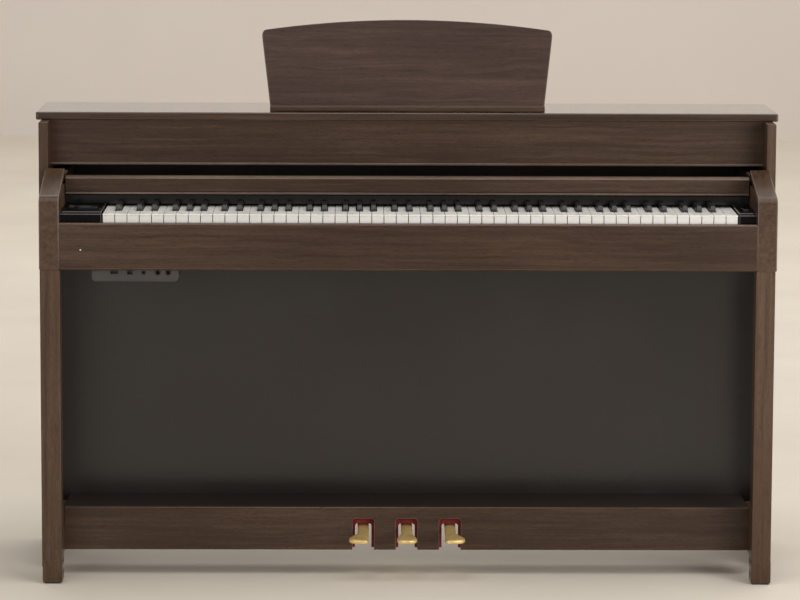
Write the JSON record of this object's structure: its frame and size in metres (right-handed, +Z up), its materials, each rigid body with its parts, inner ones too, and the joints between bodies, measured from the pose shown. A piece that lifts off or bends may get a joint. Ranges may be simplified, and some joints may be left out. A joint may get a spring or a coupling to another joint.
{
  "type": "digital piano on stand",
  "caption": "Console digital piano: wood cabinet on legs, keyboard with sliding cover, folding music rest and three foot pedals.",
  "frame": {"origin": "on the floor under the middle of the lid width and of the whole depth", "axes": "+Z up, front (player side) towards -Y, +X to the right as the player sees it"},
  "size_m": [1.461, 0.459, 1.0758],
  "materials": {
    "rosewood": "dark figured rosewood grain, satin",
    "inner_wood": "dark stained board, matt",
    "satin_black_board": "black laminate, satin",
    "felt_red": "pressed wool felt",
    "pedal_brass": "polished",
    "steel": "plated",
    "black_plastic": "fine moulded",
    "gloss_black": "gloss",
    "key_white": "satin ivory",
    "key_black": "satin ebony",
    "jack_grey": "satin brown-grey",
    "lamp_lens": "clear lens",
    "display_glass": "gloss",
    "speaker_cone": "pressed paper",
    "grille_cloth": "woven cloth",
    "board_green": "lacquered"
  },
  "bodies": {
    "cabinet": {"side_panel_left": "rosewood", "side_panel_right": "rosewood", "front_leg_left": "rosewood", "front_leg_right": "rosewood", "toes": "rosewood", "key_arm_left": "rosewood", "key_arm_right": "rosewood", "cover_guides": "inner_wood", "top_lid": "rosewood", "upper_front_board": "rosewood", "cabinet_back": "satin_black_board", "keybed": "inner_wood", "key_slip": "rosewood", "back_board": "satin_black_board", "kick_board": "rosewood", "pedal_box_top": "inner_wood", "pedal_felts": "felt_red", "pedal_bracket": "steel", "pedal_shaft": "steel", "pedal_springs": "steel", "nameboard": "gloss_black", "end_block_left": "gloss_black", "end_block_right": "gloss_black", "rest_hinges": "steel", "jack_box": "jack_grey", "jack_sockets": "black_plastic", "power_lamp": "lamp_lens", "panel_display": "display_glass", "speakers": "speaker_cone", "speaker_grilles": "grille_cloth", "main_board": "board_green", "ac_inlet": "black_plastic", "assembly_screws": "steel", "key_frame": "steel", "white_keys": "key_white", "black_keys": "key_black"},
    "pedal_left": {"pedal_left": "pedal_brass"},
    "pedal_center": {"pedal_center": "pedal_brass"},
    "pedal_right": {"pedal_right": "pedal_brass"},
    "key_cover": {"key_cover_panel": "rosewood", "key_cover_rail": "rosewood", "cover_rollers": "black_plastic"},
    "music_rest": {"music_rest_plate": "rosewood", "music_rest_ledge": "rosewood", "rest_brackets": "steel"},
    "rest_stays": {"rest_stays": "steel"},
    "power_button": {"power_button": "black_plastic"},
    "volume_slider": {"volume_slider": "black_plastic"},
    "key_c": {"key_c": "key_white"},
    "key_c_sharp": {"key_c_sharp": "key_black"},
    "key_d": {"key_d": "key_white"},
    "key_d_sharp": {"key_d_sharp": "key_black"},
    "key_e": {"key_e": "key_white"},
    "key_f": {"key_f": "key_white"},
    "key_f_sharp": {"key_f_sharp": "key_black"},
    "key_g": {"key_g": "key_white"},
    "key_g_sharp": {"key_g_sharp": "key_black"},
    "key_a": {"key_a": "key_white"},
    "key_a_sharp": {"key_a_sharp": "key_black"},
    "key_b": {"key_b": "key_white"}
  },
  "joints": [
    {"name": "pedal_left_press", "type": "hinge", "parent": "cabinet", "child": "pedal_left", "pos_m": [-0.085, -0.0145, 0.088], "axis": [1, 0, 0], "range_deg": [0, 4.5], "stiffness_Nm_per_rad": 40, "springref_deg": -2.86},
    {"name": "pedal_center_press", "type": "hinge", "parent": "cabinet", "child": "pedal_center", "pos_m": [0, -0.0145, 0.088], "axis": [1, 0, 0], "range_deg": [0, 4.5], "stiffness_Nm_per_rad": 40, "springref_deg": -2.86},
    {"name": "pedal_right_press", "type": "hinge", "parent": "cabinet", "child": "pedal_right", "pos_m": [0.085, -0.0145, 0.088], "axis": [1, 0, 0], "range_deg": [0, 4.5], "stiffness_Nm_per_rad": 40, "springref_deg": -2.86},
    {"name": "key_cover_swing", "type": "hinge", "parent": "cabinet", "child": "key_cover", "pos_m": [0, -0.0795, 0.344], "axis": [1, 0, 0], "range_deg": [0, 20]},
    {"name": "music_rest_fold", "type": "hinge", "parent": "cabinet", "child": "music_rest", "pos_m": [0, 0.0425, 0.907], "axis": [-1, 0, 0], "range_deg": [0, 70]},
    {"name": "rest_stay_fold", "type": "hinge", "parent": "music_rest", "child": "rest_stays", "pos_m": [0, 0.06001, 0.96448], "axis": [1, 0, 0], "range_deg": [0, 132.19]},
    {"name": "power_button_press", "type": "slide", "parent": "cabinet", "child": "power_button", "axis": [0, 0, -1], "range_m": [0, 0.0015], "stiffness_N_per_m": 300, "springref_m": -0.003},
    {"name": "volume_slide", "type": "slide", "parent": "cabinet", "child": "volume_slider", "axis": [0, 1, 0], "range_m": [-0.02, 0.02]},
    {"name": "key_c_press", "type": "hinge", "parent": "cabinet", "child": "key_c", "pos_m": [0, 0.0055, 0.709], "axis": [1, 0, 0], "range_deg": [0, 2.7], "stiffness_Nm_per_rad": 1, "springref_deg": -8.59},
    {"name": "key_c_sharp_press", "type": "hinge", "parent": "cabinet", "child": "key_c_sharp", "pos_m": [0, 0.0055, 0.709], "axis": [1, 0, 0], "range_deg": [0, 2.7], "stiffness_Nm_per_rad": 1, "springref_deg": -8.59},
    {"name": "key_d_press", "type": "hinge", "parent": "cabinet", "child": "key_d", "pos_m": [0, 0.0055, 0.709], "axis": [1, 0, 0], "range_deg": [0, 2.7], "stiffness_Nm_per_rad": 1, "springref_deg": -8.59},
    {"name": "key_d_sharp_press", "type": "hinge", "parent": "cabinet", "child": "key_d_sharp", "pos_m": [0, 0.0055, 0.709], "axis": [1, 0, 0], "range_deg": [0, 2.7], "stiffness_Nm_per_rad": 1, "springref_deg": -8.59},
    {"name": "key_e_press", "type": "hinge", "parent": "cabinet", "child": "key_e", "pos_m": [0, 0.0055, 0.709], "axis": [1, 0, 0], "range_deg": [0, 2.7], "stiffness_Nm_per_rad": 1, "springref_deg": -8.59},
    {"name": "key_f_press", "type": "hinge", "parent": "cabinet", "child": "key_f", "pos_m": [0, 0.0055, 0.709], "axis": [1, 0, 0], "range_deg": [0, 2.7], "stiffness_Nm_per_rad": 1, "springref_deg": -8.59},
    {"name": "key_f_sharp_press", "type": "hinge", "parent": "cabinet", "child": "key_f_sharp", "pos_m": [0, 0.0055, 0.709], "axis": [1, 0, 0], "range_deg": [0, 2.7], "stiffness_Nm_per_rad": 1, "springref_deg": -8.59},
    {"name": "key_g_press", "type": "hinge", "parent": "cabinet", "child": "key_g", "pos_m": [0, 0.0055, 0.709], "axis": [1, 0, 0], "range_deg": [0, 2.7], "stiffness_Nm_per_rad": 1, "springref_deg": -8.59},
    {"name": "key_g_sharp_press", "type": "hinge", "parent": "cabinet", "child": "key_g_sharp", "pos_m": [0, 0.0055, 0.709], "axis": [1, 0, 0], "range_deg": [0, 2.7], "stiffness_Nm_per_rad": 1, "springref_deg": -8.59},
    {"name": "key_a_press", "type": "hinge", "parent": "cabinet", "child": "key_a", "pos_m": [0, 0.0055, 0.709], "axis": [1, 0, 0], "range_deg": [0, 2.7], "stiffness_Nm_per_rad": 1, "springref_deg": -8.59},
    {"name": "key_a_sharp_press", "type": "hinge", "parent": "cabinet", "child": "key_a_sharp", "pos_m": [0, 0.0055, 0.709], "axis": [1, 0, 0], "range_deg": [0, 2.7], "stiffness_Nm_per_rad": 1, "springref_deg": -8.59},
    {"name": "key_b_press", "type": "hinge", "parent": "cabinet", "child": "key_b", "pos_m": [0, 0.0055, 0.709], "axis": [1, 0, 0], "range_deg": [0, 2.7], "stiffness_Nm_per_rad": 1, "springref_deg": -8.59}
  ],
  "couplings": [
    {"joint": "rest_stay_fold", "follows": "music_rest_fold", "ratio": 1.8882}
  ]
}
